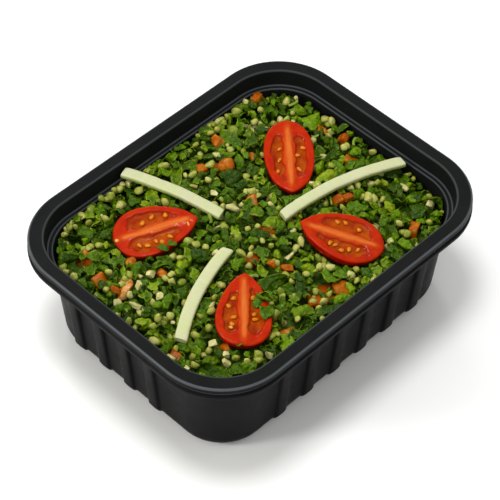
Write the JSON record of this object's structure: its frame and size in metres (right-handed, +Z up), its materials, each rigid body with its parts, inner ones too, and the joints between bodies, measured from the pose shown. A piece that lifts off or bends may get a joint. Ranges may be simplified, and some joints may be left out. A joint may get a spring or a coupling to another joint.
{
  "type": "tabbouleh salad",
  "caption": "Chopped parsley and bulgur salad in a black rounded tray, topped with tomato halves and pale cabbage strips.",
  "frame": {"origin": "middle of the tray's flat underside", "axes": "+X along the tray's long sides, +Y along its short sides, +Z up out of the tray"},
  "size_m": [0.17, 0.1344, 0.057],
  "materials": {
    "tray": "satin",
    "salad": "moist",
    "tomato": "glossy",
    "cabbage": "moist"
  },
  "bodies": {
    "root": {"tray": "tray", "salad_heap": "salad", "tomato_half_1": "tomato", "tomato_half_2": "tomato", "tomato_half_3": "tomato", "tomato_half_4": "tomato", "cabbage_strip_1": "cabbage", "cabbage_strip_2": "cabbage", "cabbage_strip_3": "cabbage"}
  },
  "joints": []
}
